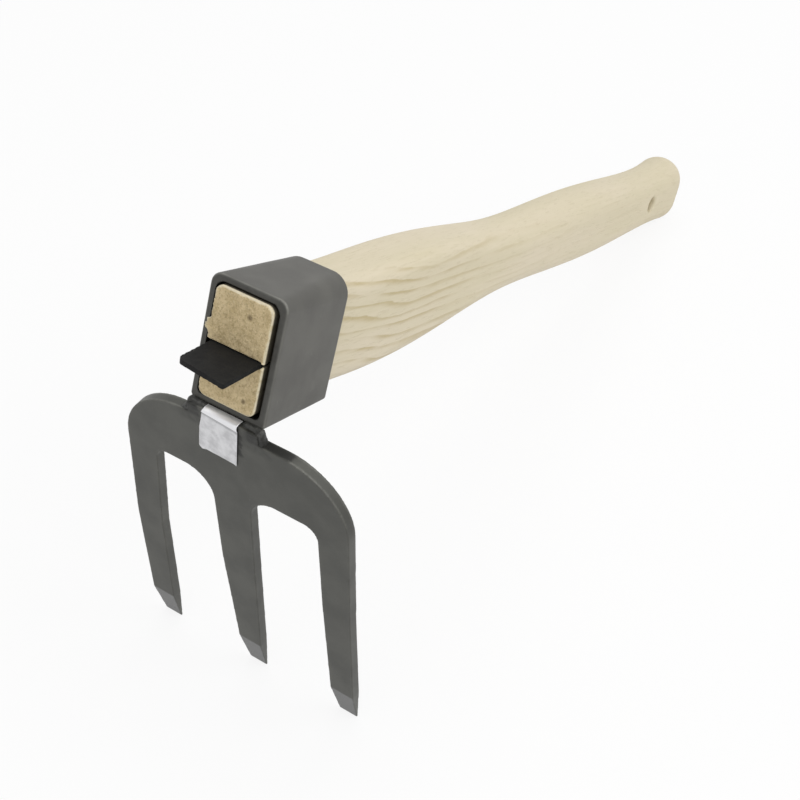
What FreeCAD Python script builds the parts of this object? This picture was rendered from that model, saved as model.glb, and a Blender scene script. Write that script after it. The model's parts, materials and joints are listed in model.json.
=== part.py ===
"""Hand cultivator: a three-tined steel fork welded to a tapered eye on a wedged wooden handle.

Every piece is drawn in the tool's frame, in millimetres: the origin is the middle of the eye's
front opening, +X runs along the handle to its butt, +Y is to the left of someone who looks into
that opening, and +Z is square to the handle, away from the tines.  At the end the whole tool is
laid down as it rests by itself, on its three tips and the heel of the butt.
"""
import FreeCAD, Part
import math
import os
import re

import Sketcher

V = FreeCAD.Vector

# The wood's and the wedge's reach to each side of the axis, at the front of the eye.
ROOT_LEFT = "(eye_width / 2 + eye_spread - eye_wall - seat_gap_front)"
ROOT_RIGHT = "(eye_width / 2 - eye_wall_right - seat_gap_front)"
WEDGE_LEFT = "(%s - wedge_short_left)" % ROOT_LEFT
WEDGE_RIGHT = "(%s - wedge_short_right)" % ROOT_RIGHT
# The middle tine's reach to each side of the axis, at the knee.
MIDDLE_LEFT = "(middle_knee / 2 + middle_shift)"
MIDDLE_RIGHT = "(middle_knee / 2 - middle_shift)"
# Half the width of the plate's neck, and the ends of the front beads from the middle.
NECK_HALF = "(eye_width / 2 - neck_short)"
BEAD_OUTER = "(eye_width / 2 + bead_proud)"
BEAD_INNER = "(%s - bead_length)" % BEAD_OUTER
REAR_HALF = "(eye_width / 2 - rear_short)"
# Half the foil's width, between those beads.
FOIL_HALF = "(%s - foil_gap)" % BEAD_INNER

# Each driving size, in millimetres or degrees, with what it measures.
SIZES = {
    # eye: the tapered steel socket that holds the handle
    "eye_width": (30.6, "outside width at the front"),
    "eye_height": (46.0, "outside height at the front"),
    "eye_length": (39.0, "front opening to rear opening"),
    "eye_spread": (0.6, "how much further the left side reaches at the front"),
    "eye_wall": (2.5, "wall thickness at the top, underside and left"),
    "eye_wall_right": (3.0, "wall thickness at the right"),
    "eye_corner": (4.2, "outside radius of the upper corners at the front"),
    "eye_corner_rear": (7.7, "outside radius of the upper corners at the rear"),
    "eye_corner_low": (1.6, "outside radius of the lower corners"),
    "hollow_corner": (3.6, "inside radius of the upper corners at the front"),
    "hollow_corner_rear": (5.6, "inside radius of the upper corners at the rear"),
    "hollow_corner_low": (1.8, "inside radius of the lower corners"),
    "side_draw": (1.3, "how far each side draws in towards the rear"),
    "height_flare": (0.3, "how far the top and the underside spread towards the rear"),
    "rim_round": (0.8, "rounding of the outside edges at both openings"),
    # handle
    "handle_length": (388.5, "eye front to the end of the butt"),
    "end_proud": (1.8, "how far the end grain stands out of the eye"),
    "seat_gap_front": (1.1, "gap beside the wood at the front of the eye"),
    "seat_gap_high": (0.5, "gap above and below the wood at the front of the eye"),
    "seat_gap_rear": (0.2, "gap round the wood at the rear of the eye"),
    "seat_corner": (3.0, "corner radius of the wood at the front of the eye"),
    "seat_corner_rear": (5.4, "corner radius of the wood at the rear of the eye"),
    "end_chamfer": (0.7, "chamfer round the end grain"),
    "grip_rise": (0.2, "height of the grip's axis over the eye's axis"),
    "throat_start": (60.0, "where the thick throat behind the eye starts"),
    "throat_end": (106.0, "where the throat ends and the handle narrows"),
    "throat_width": (25.0, "throat width"),
    "throat_height": (40.2, "throat height"),
    "throat_corner": (6.5, "throat corner radius"),
    "throat_sag": (1.1, "how much deeper the throat's underside is where it starts"),
    "waist_place": (176.0, "distance of the waist from the eye's front"),
    "waist_width": (24.4, "waist width"),
    "waist_height": (32.2, "waist height"),
    "waist_corner": (11.2, "waist corner radius"),
    "belly_place": (248.0, "distance of the belly from the eye's front"),
    "belly_width": (25.8, "belly width"),
    "belly_height": (34.6, "belly height"),
    "belly_corner": (12.0, "belly corner radius"),
    "slim_place": (334.0, "distance of the slim stretch from the eye's front"),
    "slim_width": (23.6, "width of the slim stretch before the butt"),
    "slim_height": (31.8, "height of the slim stretch"),
    "slim_corner": (11.4, "corner radius of the slim stretch"),
    "butt_width": (26.2, "butt width"),
    "butt_height": (37.0, "butt height"),
    "butt_corner": (12.2, "butt corner radius"),
    "butt_round": (10.0, "rounding of the butt's end"),
    "butt_rise": (3.0, "height of the butt's axis over the eye's axis"),
    "hang_inset": (43.5, "hanging hole's distance from the end of the butt"),
    "hang_rise": (1.6, "hanging hole's height over the eye's axis"),
    "hang_bore": (8.0, "hanging hole's diameter"),
    # wedge and the slot that it is driven into
    "wedge_tilt": (6.5, "degrees that the wedge droops towards its outer end"),
    "wedge_drop": (0.75, "how far below the eye's axis the wedge enters the wood"),
    "wedge_thickness": (2.0, "wedge thickness"),
    "wedge_short_left": (1.8, "how far the wedge stops short of the wood's left side"),
    "wedge_short_right": (0.9, "how far it stops short of the wood's right side"),
    "wedge_proud_left": (16.9, "how far the wedge stands out of the end grain on the left"),
    "wedge_proud_right": (19.4, "how far it stands out on the right"),
    "wedge_sunk": (15.0, "how far the wedge is in the wood"),
    "wedge_grind": (8.0, "length ground to an edge at the inner end"),
    "wedge_edge": (0.4, "thickness left at that edge"),
    "wedge_round_left": (2.8, "left corner's radius at the outer end"),
    "wedge_round_right": (0.6, "right corner's radius at the outer end"),
    "wedge_travel": (14.0, "how much further the wedge can be driven"),
    "wedge_gap": (0.15, "gap between the wedge and its slot"),
    "kerf_width": (0.9, "saw cut that the wedge opens"),
    # fork plate
    "plate_thickness": (4.2, "plate thickness"),
    "plate_tilt": (23.9, "degrees that the tines lean back from square to the handle"),
    "plate_lead": (3.3, "how far the plate's face is ahead of the eye's lower front edge"),
    "neck_short": (0.3, "how far each side of the neck is inside the eye's side"),
    "neck_drop": (1.4, "neck's top edge below the eye, along the plate as are all drops"),
    "shoulder_drop": (6.1, "shoulders' top edge below the eye"),
    "round_left": (29.0, "left shoulder's radius"),
    "round_right": (26.0, "right shoulder's radius"),
    "corner_left": (44.3, "left shoulder's corner, before it is rounded"),
    "corner_right": (50.9, "right shoulder's corner, before it is rounded"),
    "crotch_drop": (34.9, "top of the gaps between the tines"),
    "crotch_left": (33.3, "left gap's outer corner"),
    "crotch_right": (37.2, "right gap's outer corner"),
    "crotch_outer_round": (6.0, "radius of a gap's outer corner"),
    "crotch_inner_round": (12.0, "radius of a gap's corner at the middle tine"),
    "knee_drop": (80.0, "where the outer tines turn parallel"),
    "knee_offset": (43.4, "outer tines' centre at the knee"),
    "knee_width": (11.9, "outer tines' width at the knee"),
    "middle_root": (16.8, "middle tine's width at the top of the gaps"),
    "middle_knee": (14.9, "middle tine's width at the knee"),
    "middle_shift": (0.7, "how far the middle tine is off to the left at the knee"),
    "grind_drop": (127.0, "where the ground bevel starts"),
    "grind_offset": (44.0, "outer tines' centre where the bevel starts"),
    "grind_width": (10.5, "each tine's width where the bevel starts"),
    "tine_length": (145.0, "eye underside to the tips"),
    "tip_offset": (44.1, "outer tips' centre"),
    "tip_width": (8.1, "each tip's width"),
    "tip_land": (0.6, "steel left at the edge of each tip"),
    # welds between the plate's neck and the eye
    "bead_radius": (2.4, "front beads' radius"),
    "bead_behind": (0.9, "front beads' axis behind the eye's front"),
    "bead_below": (0.9, "front beads' axis below the eye's underside"),
    "bead_proud": (0.2, "how far the front beads' outer ends are past the eye's sides"),
    "bead_length": (6.9, "front beads' length"),
    "rear_radius": (3.2, "rear bead's radius"),
    "rear_behind": (1.7, "rear bead's axis behind the plate"),
    "rear_below": (1.2, "rear bead's axis below the eye's underside"),
    "rear_short": (3.5, "how far each end of the rear bead is inside the eye's side"),
    # foil label on the neck
    "foil_thickness": (0.25, "foil thickness"),
    "foil_gap": (0.9, "gap from each side of the foil to the front bead"),
    "foil_drop": (21.0, "foil's lower edge below the eye"),
    "foil_skew": (3.3, "how far the foil's lower edge is off to the left"),
    "foil_reach": (2.8, "how far the foil reaches over the plate's top edge"),
}

doc = FreeCAD.newDocument("hand_cultivator")


# ---------------------------------------------------------------- sheet and helpers

def fill_sheet():
    """Write every size to the sheet, one row each, with its name as the alias."""
    cells = doc.addObject("Spreadsheet::Sheet", "Sizes")
    for row, (name, (number, meaning)) in enumerate(SIZES.items(), start=1):
        cells.set("A%d" % row, name)
        cells.set("B%d" % row, str(number))
        cells.set("C%d" % row, meaning)
        cells.setAlias("B%d" % row, name)
    doc.recompute()
    return cells


sheet = fill_sheet()


def linked(formula):
    """The formula with each size's name pointing at its cell in the sheet."""
    def cell(match):
        word = match.group()
        return "Sizes." + word if word in SIZES else word
    return re.sub(r"[A-Za-z_]+", cell, formula)


def value(formula):
    """The formula's number at the present sizes."""
    return float(sheet.evalExpression(linked(formula)))


def bind(thing, **formulas):
    """Tie properties to the sheet; a double underscore in a keyword stands for a dot."""
    for name, formula in formulas.items():
        thing.setExpression(name.replace("__", "."), linked(formula))


def new_body(label):
    body = doc.addObject("PartDesign::Body", label)
    body.Label = label
    return body


def new_sketch(body, name, plane, offset="0"):
    """A sketch on one of the body's own origin planes, moved along the plane's normal."""
    sketch = body.newObject("Sketcher::SketchObject", name)
    support = [f for f in body.Origin.OriginFeatures if f.Role == plane][0]
    sketch.AttachmentSupport = (support, "")
    sketch.MapMode = "FlatFace"
    if offset != "0":
        bind(sketch, AttachmentOffset__Base__z=offset)
    return sketch


def dimension(sketch, kind, formula, *geometry):
    """A driving dimension tied to the sheet."""
    index = sketch.addConstraint(Sketcher.Constraint(kind, *geometry, value(formula)))
    sketch.setExpression("Constraints[%d]" % index, linked(formula))


def draw_polygon(sketch, corners):
    """A closed outline; corners are pairs of formulas, each dimensioned from the origin."""
    points = [V(value(across), value(up), 0) for across, up in corners]
    count = len(points)
    for i in range(count):
        sketch.addGeometry(Part.LineSegment(points[i], points[(i + 1) % count]))
    for i in range(count):
        sketch.addConstraint(Sketcher.Constraint("Coincident", i, 2, (i + 1) % count, 1))
    for i, (across, up) in enumerate(corners):
        dimension(sketch, "DistanceX", across, -1, 1, i, 1)
        dimension(sketch, "DistanceY", up, -1, 1, i, 1)


def draw_circle(sketch, across, up, diameter):
    circle = Part.Circle(V(value(across), value(up), 0), V(0, 0, 1), value(diameter) / 2)
    sketch.addGeometry(circle)
    dimension(sketch, "DistanceX", across, -1, 1, 0, 3)
    dimension(sketch, "DistanceY", up, -1, 1, 0, 3)
    dimension(sketch, "Diameter", diameter, 0)


def draw_rounded_rectangle(sketch, right, top, bottom, radius, low_radius=None, left=None):
    """Sides at left and minus right, edges at top and minus bottom, arcs at the corners."""
    low_radius = low_radius or radius
    left = left or right
    w, v, t, b, r, q = (value(f) for f in (left, right, top, bottom, radius, low_radius))
    sides = [(V(-v + r, t, 0), V(w - r, t, 0)), (V(w, t - r, 0), V(w, -b + q, 0)),
             (V(w - q, -b, 0), V(-v + q, -b, 0)), (V(-v, -b + q, 0), V(-v, t - r, 0))]
    for start, end in sides:
        sketch.addGeometry(Part.LineSegment(start, end))
    arcs = [(w - r, t - r, r), (w - q, -b + q, q), (-v + q, -b + q, q), (-v + r, t - r, r)]
    for turn, (x, y, size) in enumerate(arcs):
        circle = Part.Circle(V(x, y, 0), V(0, 0, 1), size)
        first = -turn * math.pi / 2
        sketch.addGeometry(Part.ArcOfCircle(circle, first, first + math.pi / 2))
    for side, kind in enumerate(("Horizontal", "Vertical", "Horizontal", "Vertical")):
        arc, following = 4 + side, (side + 1) % 4
        sketch.addConstraint(Sketcher.Constraint("Tangent", side, 2, arc, 2))
        sketch.addConstraint(Sketcher.Constraint("Tangent", arc, 1, following, 1))
        sketch.addConstraint(Sketcher.Constraint(kind, side))
    for arc, opposite in ((4, 7), (5, 6)):
        sketch.addConstraint(Sketcher.Constraint("Equal", arc, opposite))
    dimension(sketch, "DistanceY", top, -1, 1, 0, 1)
    dimension(sketch, "DistanceX", left, -1, 1, 1, 1)
    dimension(sketch, "DistanceY", "-(%s)" % bottom, -1, 1, 2, 1)
    dimension(sketch, "DistanceX", "-(%s)" % right, -1, 1, 3, 1)
    dimension(sketch, "Radius", radius, 4)
    dimension(sketch, "Radius", low_radius, 5)


def loft(body, kind, name, sections, ruled):
    feature = body.newObject("PartDesign::" + kind, name)
    feature.Profile = sections[0]
    feature.Sections = sections[1:]
    feature.Ruled = ruled
    doc.recompute()
    return feature


def extrude(body, kind, name, sketch, length, second=None, centred=False):
    """A pad or pocket: to one side of its sketch, by two lengths, or half to each side."""
    feature = body.newObject("PartDesign::" + kind, name)
    feature.Profile = sketch
    feature.Length = value(length)
    bind(feature, Length=length)
    if second:
        feature.SideType = "Two sides"
        feature.Length2 = value(second)
        bind(feature, Length2=second)
    elif centred:
        feature.SideType = "Symmetric"
    doc.recompute()
    return feature


def cut_away(body, name, sketch, length, second=None, centred=False):
    """A pocket that has to take something off the body."""
    before = body.Shape.Volume
    extrude(body, "Pocket", name, sketch, length, second, centred)
    if body.Shape.Volume > before - 1e-3:
        raise ValueError(name + " cuts nothing")


def edges_round_face(feature, x):
    """Names of the outer edges of the flat face at x."""
    def flat(face):
        return abs(face.BoundBox.XMin - x) < 1e-3 and abs(face.BoundBox.XMax - x) < 1e-3
    face = [f for f in feature.Shape.Faces if flat(f)][0]
    return ["Edge%d" % (i + 1) for i, edge in enumerate(feature.Shape.Edges)
            if any(edge.isSame(other) for other in face.OuterWire.Edges)]


def edges_along(feature, axis, places):
    """Names of the straight edges along an axis (0, 1 or 2) at places on the other two."""
    others = [i for i in range(3) if i != axis]
    targets = [[value(formula) for formula in place] for place in places]

    def near(edge, target):
        return all(abs(vertex.Point[i] - want) < 1e-3
                   for vertex in edge.Vertexes for i, want in zip(others, target))
    return ["Edge%d" % (i + 1) for i, edge in enumerate(feature.Shape.Edges)
            if any(near(edge, target) for target in targets)]


def soften(body, kind, name, edges, size):
    """A Fillet or Chamfer on named edges of the body's last feature."""
    feature = body.newObject("PartDesign::" + kind, name)
    feature.Base = (feature.BaseFeature, edges)
    prop = {"Fillet": "Radius", "Chamfer": "Size"}[kind]
    setattr(feature, prop, value(size))
    bind(feature, **{prop: size})
    doc.recompute()
    return feature


def cut_to_fit(label, base, *seats):
    """A sub-part that is the base less the pieces that it is seated against."""
    for number, seat in enumerate(seats, start=1):
        name = label if number == len(seats) else "%s_trim%d" % (label, number)
        result = doc.addObject("Part::Cut", name)
        result.Base = base
        result.Tool = seat
        base = result
    doc.recompute()
    return base


# ---------------------------------------------------------------- frames of the leaning pieces

def plate_frame():
    """The plate's frame: X back through the steel, Z up along the plate to the eye."""
    corner = V(-value("plate_lead"), 0, -value("eye_height / 2"))
    return FreeCAD.Placement(corner, FreeCAD.Rotation(V(0, 1, 0), -value("plate_tilt")))


def wedge_frame():
    """The wedge's frame: X into the wood from the end grain, Z through its thickness."""
    mouth = V(-value("end_proud"), 0, -value("wedge_drop"))
    return FreeCAD.Placement(mouth, FreeCAD.Rotation(V(0, 1, 0), -value("wedge_tilt")))


# ---------------------------------------------------------------- eye

def draw_eye(body, name, inset, right_inset, corner, rear_corner, low_corner):
    """The front and rear outlines of the eye, drawn in by the insets, with these corner radii."""
    front = new_sketch(body, name + "Front", "YZ_Plane")
    height = "eye_height / 2 - %s" % inset
    draw_rounded_rectangle(front, "eye_width / 2 - %s" % right_inset, height, height, corner,
                           low_corner, "eye_width / 2 + eye_spread - %s" % inset)
    rear = new_sketch(body, name + "Rear", "YZ_Plane", "eye_length")
    height = "eye_height / 2 + height_flare - %s" % inset
    draw_rounded_rectangle(rear, "eye_width / 2 - side_draw - %s" % right_inset, height, height,
                           rear_corner, low_corner, "eye_width / 2 - side_draw - %s" % inset)
    return [front, rear]


def fill_eye(body, name):
    """The eye's outside as a full solid."""
    outline = draw_eye(body, name, "0", "0", "eye_corner", "eye_corner_rear", "eye_corner_low")
    return loft(body, "AdditiveLoft", name, outline, True)


def make_eye_blank():
    """The filled eye, to cut what is seated against it."""
    body = new_body("eye_blank")
    fill_eye(body, "Blank")
    return body


def make_eye_band():
    body = new_body("eye_band")
    fill_eye(body, "Outside")
    hollow = draw_eye(body, "Hollow", "eye_wall", "eye_wall_right", "hollow_corner",
                      "hollow_corner_rear", "hollow_corner_low")
    ring = loft(body, "SubtractiveLoft", "Hollow", hollow, True)
    edges = edges_round_face(ring, 0) + edges_round_face(ring, value("eye_length"))
    soften(body, "Fillet", "RimRound", edges, "rim_round")
    return body


# ---------------------------------------------------------------- handle

def draw_seat(body):
    """The wood's outlines at the end grain and at the eye's rear opening."""
    front = new_sketch(body, "SeatFront", "YZ_Plane", "-end_proud")
    height = "eye_height / 2 - eye_wall - seat_gap_high"
    draw_rounded_rectangle(front, ROOT_RIGHT, height, height, "seat_corner", left=ROOT_LEFT)
    rear = new_sketch(body, "SeatRear", "YZ_Plane", "eye_length")
    height = "eye_height / 2 + height_flare - eye_wall - seat_gap_rear"
    draw_rounded_rectangle(rear, "eye_width / 2 - side_draw - eye_wall_right - seat_gap_rear",
                           height, height, "seat_corner_rear",
                           left="eye_width / 2 - side_draw - eye_wall - seat_gap_rear")
    return [front, rear]


def draw_station(body, part, place, rise="grip_rise", deeper="0"):
    """One cross-section of the handle behind the eye, with its underside that much deeper."""
    section = new_sketch(body, "Section_" + place, "YZ_Plane", place)
    draw_rounded_rectangle(section, "%s_width / 2" % part, "%s_height / 2 + %s" % (part, rise),
                           "%s_height / 2 - %s + %s" % (part, rise, deeper), "%s_corner" % part)
    return section


def make_handle():
    body = new_body("handle")
    seat = draw_seat(body)
    loft(body, "AdditiveLoft", "Seat", seat, True)
    stations = [draw_station(body, "throat", "throat_start", "0", "throat_sag"),
                draw_station(body, "throat", "throat_end", "0")]
    stations += [draw_station(body, part, part + "_place") for part in ("waist", "belly", "slim")]
    stations.append(draw_station(body, "butt", "handle_length", "butt_rise"))
    grip = loft(body, "AdditiveLoft", "Grip", seat[1:] + stations, False)
    butt = soften(body, "Fillet", "ButtRound",
                  edges_round_face(grip, value("handle_length")), "butt_round")
    soften(body, "Chamfer", "EndChamfer",
           edges_round_face(butt, -value("end_proud")), "end_chamfer")
    cut_wedge_slot(body)
    hole = new_sketch(body, "HangHoleOutline", "XZ_Plane")
    draw_circle(hole, "handle_length - hang_inset", "hang_rise", "hang_bore")
    cut_away(body, "HangHole", hole, "butt_width + slim_width", centred=True)
    return body


def cut_wedge_slot(body):
    """The wedge's slot, open on the left, and the thinner saw cut right across the wood."""
    frame = wedge_frame()
    slope = FreeCAD.Rotation(V(0, 0, 1), value("wedge_tilt"))
    depth = "wedge_sunk + wedge_travel + wedge_gap"
    slots = [("WedgeSlot", "wedge_thickness / 2 + wedge_gap", WEDGE_RIGHT + " + wedge_gap"),
             ("Kerf", "kerf_width / 2", "eye_width / 2")]
    for name, half, right in slots:
        outline = new_sketch(body, name + "Outline", "XZ_Plane")
        outline.AttachmentOffset = FreeCAD.Placement(V(frame.Base.x, frame.Base.z, 0), slope)
        draw_polygon(outline, [("-wedge_proud_left", half), (depth, half),
                               (depth, "-(%s)" % half), ("-wedge_proud_left", "-(%s)" % half)])
        cut_away(body, name, outline, "eye_width / 2", second=right)


# ---------------------------------------------------------------- wedge

def make_wedge():
    body = new_body("wedge")
    plan = new_sketch(body, "WedgePlan", "XY_Plane", "-wedge_thickness / 2")
    outer_left = ("-wedge_proud_left", WEDGE_LEFT)
    outer_right = ("-wedge_proud_right", "-" + WEDGE_RIGHT)
    draw_polygon(plan, [outer_left, ("wedge_sunk", WEDGE_LEFT),
                        ("wedge_sunk", "-" + WEDGE_RIGHT), outer_right])
    plate = extrude(body, "Pad", "WedgePlate", plan, "wedge_thickness")
    for side, corner in (("left", outer_left), ("right", outer_right)):
        plate = soften(body, "Fillet", side.title() + "OuterCorner",
                       edges_along(plate, 2, [corner]), "wedge_round_" + side)
    for side, sign in (("Upper", ""), ("Lower", "-")):
        grind = new_sketch(body, side + "GrindOutline", "XZ_Plane")
        face, edge = "%swedge_thickness / 2" % sign, "%swedge_edge / 2" % sign
        draw_polygon(grind, [("wedge_sunk - wedge_grind", face), ("wedge_sunk", edge),
                             ("wedge_sunk + wedge_gap", edge), ("wedge_sunk + wedge_gap", face)])
        cut_away(body, side + "Grind", grind, "eye_width", centred=True)
    body.Placement = wedge_frame()
    return body


# ---------------------------------------------------------------- fork plate

def fork_corners():
    """The plate's outline: down the left half, outside then inside, and back up the right."""
    left = [(NECK_HALF, "-neck_drop"), (NECK_HALF, "-shoulder_drop"),
            ("corner_left", "-shoulder_drop"),
            ("knee_offset + knee_width / 2", "-knee_drop"),
            ("grind_offset + grind_width / 2", "-grind_drop"),
            ("tip_offset + tip_width / 2", "-tine_length"),
            ("tip_offset - tip_width / 2", "-tine_length"),
            ("grind_offset - grind_width / 2", "-grind_drop"),
            ("knee_offset - knee_width / 2", "-knee_drop"),
            ("crotch_left", "-crotch_drop"),
            ("middle_root / 2", "-crotch_drop"), (MIDDLE_LEFT, "-knee_drop"),
            ("grind_width / 2", "-grind_drop"), ("tip_width / 2", "-tine_length")]
    right = [("-(%s)" % across.replace("_left", "_right").replace(MIDDLE_LEFT, MIDDLE_RIGHT), up)
             for across, up in left]
    return left + right[::-1]


def make_fork_blank():
    """The fork before its neck is fitted to the eye."""
    body = new_body("fork_blank")
    outline = new_sketch(body, "ForkOutline", "YZ_Plane")
    draw_polygon(outline, fork_corners())
    last = extrude(body, "Pad", "ForkPlate", outline, "plate_thickness")
    for name, across, drop, radius in (
            ("LeftShoulder", ("corner_left",), "shoulder_drop", "round_left"),
            ("RightShoulder", ("-corner_right",), "shoulder_drop", "round_right"),
            ("OuterCrotches", ("crotch_left", "-crotch_right"), "crotch_drop", "crotch_outer_round"),
            ("InnerCrotches", ("middle_root / 2", "-middle_root / 2"), "crotch_drop",
             "crotch_inner_round")):
        places = [(y, "-" + drop) for y in across]
        last = soften(body, "Fillet", name, edges_along(last, 0, places), radius)
    bevel = new_sketch(body, "BevelOutline", "XZ_Plane")
    land, below = "plate_thickness - tip_land", "-tine_length - tip_land"
    draw_polygon(bevel, [("0", "-grind_drop"), (land, "-tine_length"), (land, below),
                         ("-tip_land", below), ("-tip_land", "-grind_drop")])
    cut_away(body, "TipBevels", bevel, "(corner_left + corner_right) * 2", centred=True)
    body.Placement = plate_frame()
    return body


# ---------------------------------------------------------------- welds

def make_rod(name, radius, centre, start, end):
    """A round rod along Y between two formulas, left positive."""
    rod = doc.addObject("Part::Cylinder", name)
    bind(rod, Radius=radius, Height="(%s) - (%s)" % (end, start))
    along_y = FreeCAD.Rotation(V(1, 0, 0), -90)
    rod.Placement = FreeCAD.Placement(V(centre.x, value(start), centre.z), along_y)
    return rod


def make_slab(name, start, end):
    """A wide block in the plate's frame, from one depth through the steel to another."""
    slab = doc.addObject("Part::Box", name)
    bind(slab, Length="(%s) - (%s)" % (end, start), Width="eye_width * 2", Height="eye_height * 2")
    corner = V(value(start), -value("eye_width"), -value("eye_height"))
    slab.Placement = plate_frame().multiply(FreeCAD.Placement(corner, FreeCAD.Rotation()))
    return slab


def make_welds(blank, fork_blank):
    """Two front beads at the neck's corners and one bead along the back."""
    front = V(value("bead_behind"), 0, -value("eye_height / 2 + bead_below"))
    plate_back = plate_frame().multVec(V(value("plate_thickness"), 0, 0))
    rear = V(plate_back.x + value("rear_behind"), 0, -value("eye_height / 2 + rear_below"))
    left = make_rod("left_rod", "bead_radius", front, BEAD_INNER, BEAD_OUTER)
    right = make_rod("right_rod", "bead_radius", front, "-" + BEAD_OUTER, "-" + BEAD_INNER)
    behind = make_rod("rear_rod", "rear_radius", rear, "-" + REAR_HALF, REAR_HALF)
    back_slab = make_slab("back_slab", "plate_thickness", "plate_thickness + eye_length")
    front_slab = make_slab("front_slab", "-eye_length", "plate_thickness")
    return [cut_to_fit("weld_left", left, blank, fork_blank, back_slab),
            cut_to_fit("weld_right", right, blank, fork_blank, back_slab),
            cut_to_fit("weld_rear", behind, blank, front_slab)]


# ---------------------------------------------------------------- foil label

def make_label():
    """A strip of foil on the neck's face, folded back over the plate's top edge."""
    body = new_body("neck_label")
    top = "foil_thickness - neck_drop"
    flap = new_sketch(body, "FlapOutline", "YZ_Plane", "-foil_thickness")
    draw_polygon(flap, [("-" + FOIL_HALF, top), (FOIL_HALF, top),
                        (FOIL_HALF + " + foil_skew", "-foil_drop"),
                        ("foil_skew - " + FOIL_HALF, "-foil_drop")])
    extrude(body, "Pad", "Flap", flap, "foil_thickness")
    fold = new_sketch(body, "FoldOutline", "XZ_Plane")
    draw_polygon(fold, [("-foil_thickness", "-neck_drop"), ("foil_reach", "-neck_drop"),
                        ("foil_reach", top), ("-foil_thickness", top)])
    extrude(body, "Pad", "Fold", fold, "2 * " + FOIL_HALF, centred=True)
    body.Placement = plate_frame()
    return body


# ---------------------------------------------------------------- resting pose

def lowest(shape, tilt):
    """The shape's lowest height once it is turned nose up about Y by tilt degrees."""
    turned = shape.copy()
    turned.Placement = FreeCAD.Placement(V(), FreeCAD.Rotation(V(0, 1, 0), tilt)).multiply(
        shape.Placement)
    return turned.optimalBoundingBox(False, False).ZMin


def find_rest(fork, handle, pieces):
    """Where the tool stands by itself, with its footprint centred on the origin."""
    tilt, gap = 0.0, lowest(handle.Shape, 0.0) - lowest(fork.Shape, 0.0)
    for _ in range(8):
        tilt += math.degrees(math.asin(gap / value("handle_length")))
        gap = lowest(handle.Shape, tilt) - lowest(fork.Shape, tilt)
    rest = FreeCAD.Placement(V(), FreeCAD.Rotation(V(0, 1, 0), tilt))
    whole = Part.makeCompound([piece.Shape for piece in pieces])
    whole.Placement = rest
    box = whole.optimalBoundingBox(False, False)
    rest.Base = V(-box.Center.x, -box.Center.y, -box.ZMin)
    return rest


# ---------------------------------------------------------------- assembly

def make_tool():
    """Every sub-part, placed as the tool stands."""
    blank = make_eye_blank()
    handle = make_handle()
    fork_blank = make_fork_blank()
    fork = cut_to_fit("fork_plate", fork_blank, blank)
    pieces = [handle, make_eye_band(), fork, make_wedge(), make_label()]
    pieces += make_welds(blank, fork_blank)
    doc.recompute()
    rest = find_rest(fork, handle, pieces)
    for piece in pieces:
        piece.Placement = rest.multiply(piece.Placement)
    doc.recompute()
    return pieces


def check(pieces):
    """Stop before anything is written if an object failed or a sub-part isn't sound."""
    for thing in doc.Objects:
        if "Invalid" in thing.State or "Error" in thing.State:
            raise ValueError("%s failed: %s" % (thing.Name, thing.State))
    for piece in pieces:
        if piece.Shape.isNull() or not piece.Shape.isValid() or not piece.Shape.Solids:
            raise ValueError(piece.Label + " isn't a sound solid")


def write(pieces):
    os.makedirs("parts", exist_ok=True)
    for piece in pieces:
        piece.Shape.exportStep("parts/%s.step" % piece.Label)


tool = make_tool()
check(tool)
write(tool)
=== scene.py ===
import json
import math

import bmesh
import bpy
import numpy as np
from mathutils import Matrix, Vector, noise
from mathutils.bvhtree import BVHTree
from mathutils.kdtree import KDTree


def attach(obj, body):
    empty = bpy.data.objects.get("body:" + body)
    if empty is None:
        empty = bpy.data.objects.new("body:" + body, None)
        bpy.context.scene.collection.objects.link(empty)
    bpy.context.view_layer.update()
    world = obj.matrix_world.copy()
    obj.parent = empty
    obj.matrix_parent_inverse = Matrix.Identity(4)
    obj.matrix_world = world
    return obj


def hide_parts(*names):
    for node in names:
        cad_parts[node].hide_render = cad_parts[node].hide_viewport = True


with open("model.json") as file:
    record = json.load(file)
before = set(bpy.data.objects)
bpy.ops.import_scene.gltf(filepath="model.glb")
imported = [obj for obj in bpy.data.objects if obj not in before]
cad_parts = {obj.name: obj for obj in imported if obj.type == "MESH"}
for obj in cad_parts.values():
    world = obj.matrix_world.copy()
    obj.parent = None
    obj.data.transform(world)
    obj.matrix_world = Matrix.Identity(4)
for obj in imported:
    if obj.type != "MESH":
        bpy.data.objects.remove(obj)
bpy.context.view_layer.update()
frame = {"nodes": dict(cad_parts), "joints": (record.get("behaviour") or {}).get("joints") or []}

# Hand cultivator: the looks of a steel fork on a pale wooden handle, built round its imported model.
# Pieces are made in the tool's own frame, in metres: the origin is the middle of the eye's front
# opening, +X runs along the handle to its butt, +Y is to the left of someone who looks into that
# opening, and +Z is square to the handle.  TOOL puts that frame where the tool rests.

MM = 0.001
WELDED = 1e-6                       # vertices closer than this, in metres, are one

# ---------------------------------------------------------------- frames

WEDGE_TILT = math.radians(6.5)      # how far the wedge's slide droops from the handle's axis
PLATE_LEAN = math.radians(23.9)     # how far the plate leans back from square to the handle


def read_points(mesh):
    points = np.empty(len(mesh.vertices) * 3)
    mesh.vertices.foreach_get("co", points)
    return points.reshape(-1, 3)


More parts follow.
